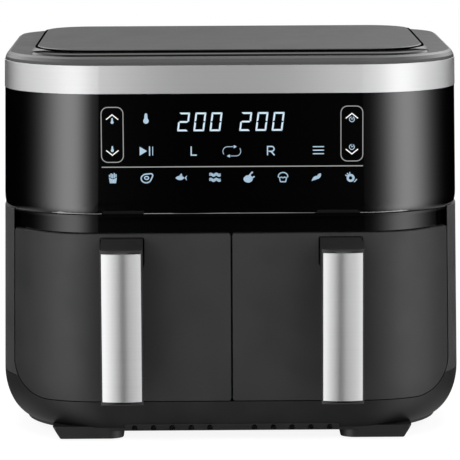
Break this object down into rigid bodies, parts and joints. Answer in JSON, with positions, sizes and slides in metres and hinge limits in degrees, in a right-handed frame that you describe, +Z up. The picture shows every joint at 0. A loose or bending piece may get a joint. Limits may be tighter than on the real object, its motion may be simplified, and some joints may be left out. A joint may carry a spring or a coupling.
{
  "type": "air fryer",
  "caption": "Countertop air fryer: rounded black housing, gloss control panel, steel band and side-by-side pull-out drawers with upright steel-faced handles.",
  "frame": {"origin": "centre of the bounding box at the underside of the foot pads, handles and cord gland included", "axes": "+Z up, +X to the user's right along the width, -Y towards the user, where the drawers pull out"},
  "size_m": [0.394, 0.3606, 0.331],
  "materials": {
    "housing_black": "satin moulded black",
    "gloss_black": "polished black",
    "top_grey": "fine moulded dark grey",
    "steel_trim": "brushed",
    "zinc_sheet": "zinc-coated sheet",
    "nonstick": "dark non-stick coating",
    "bare_steel": "bare sheet",
    "element_sheath": "heat-darkened",
    "rotor_aluminium": "stamped",
    "motor_iron": "laminated stack in a steel can",
    "inner_plastic": "natural moulded",
    "white_plastic": "heat-proof moulded",
    "board_green": "coated circuit board",
    "silicone": "soft matte",
    "magnet_nickel": "nickel-plated"
  },
  "bodies": {
    "housing": {"base_plate": "housing_black", "board_tray": "inner_plastic", "brow_strip": "gloss_black", "centre_divider": "inner_plastic", "control_fascia": "gloss_black", "cord_gland": "silicone", "display_board": "board_green", "exhaust_grille": "housing_black", "fascia_carrier": "inner_plastic", "foot_pads": "silicone", "left_cavity_liner": "zinc_sheet", "left_ceiling_plate": "zinc_sheet", "left_drawer_sensor": "white_plastic", "left_exhaust_duct": "zinc_sheet", "left_front_foot": "housing_black", "left_heater_guard": "bare_steel", "left_heating_element": "element_sheath", "left_motor": "motor_iron", "left_motor_bracket": "zinc_sheet", "left_rear_foot": "housing_black", "left_temperature_sensor": "bare_steel", "lower_tub": "housing_black", "plate_seal": "silicone", "power_board": "board_green", "right_cavity_liner": "zinc_sheet", "right_ceiling_plate": "zinc_sheet", "right_drawer_sensor": "white_plastic", "right_exhaust_duct": "zinc_sheet", "right_front_foot": "housing_black", "right_heater_guard": "bare_steel", "right_heating_element": "element_sheath", "right_motor": "motor_iron", "right_motor_bracket": "zinc_sheet", "right_rear_foot": "housing_black", "right_temperature_sensor": "bare_steel", "side_shell": "housing_black", "steel_band": "steel_trim", "top_plate": "gloss_black", "top_rim": "top_grey", "top_trim_strip": "gloss_black"},
    "left_drawer": {"left_drawer_front": "housing_black", "left_drawer_pan": "nonstick", "left_handle_body": "housing_black", "left_handle_cover": "steel_trim", "left_drawer_magnet": "magnet_nickel"},
    "left_crisper": {"left_crisper_plate": "nonstick", "left_plate_bumpers": "silicone"},
    "left_fan": {"left_hot_fan": "rotor_aluminium", "left_fan_shaft": "bare_steel", "left_cooling_fan": "inner_plastic"},
    "right_drawer": {"right_drawer_front": "housing_black", "right_drawer_pan": "nonstick", "right_handle_body": "housing_black", "right_handle_cover": "steel_trim", "right_drawer_magnet": "magnet_nickel"},
    "right_crisper": {"right_crisper_plate": "nonstick", "right_plate_bumpers": "silicone"},
    "right_fan": {"right_hot_fan": "rotor_aluminium", "right_fan_shaft": "bare_steel", "right_cooling_fan": "inner_plastic"}
  },
  "joints": [
    {"name": "left_drawer_slide", "type": "slide", "parent": "housing", "child": "left_drawer", "axis": [0, -1, 0], "range_m": [0, 0.27]},
    {"name": "right_drawer_slide", "type": "slide", "parent": "housing", "child": "right_drawer", "axis": [0, -1, 0], "range_m": [0, 0.27]},
    {"name": "left_crisper_lift", "type": "slide", "parent": "left_drawer", "child": "left_crisper", "axis": [0, 0, 1], "range_m": [0, 0.1]},
    {"name": "right_crisper_lift", "type": "slide", "parent": "right_drawer", "child": "right_crisper", "axis": [0, 0, 1], "range_m": [0, 0.1]},
    {"name": "left_fan_spin", "type": "hinge", "parent": "housing", "child": "left_fan", "pos_m": [-0.092, 0.0101, 0.2], "axis": [0, 0, 1], "continuous": true},
    {"name": "right_fan_spin", "type": "hinge", "parent": "housing", "child": "right_fan", "pos_m": [0.092, 0.0101, 0.2], "axis": [0, 0, 1], "continuous": true}
  ]
}
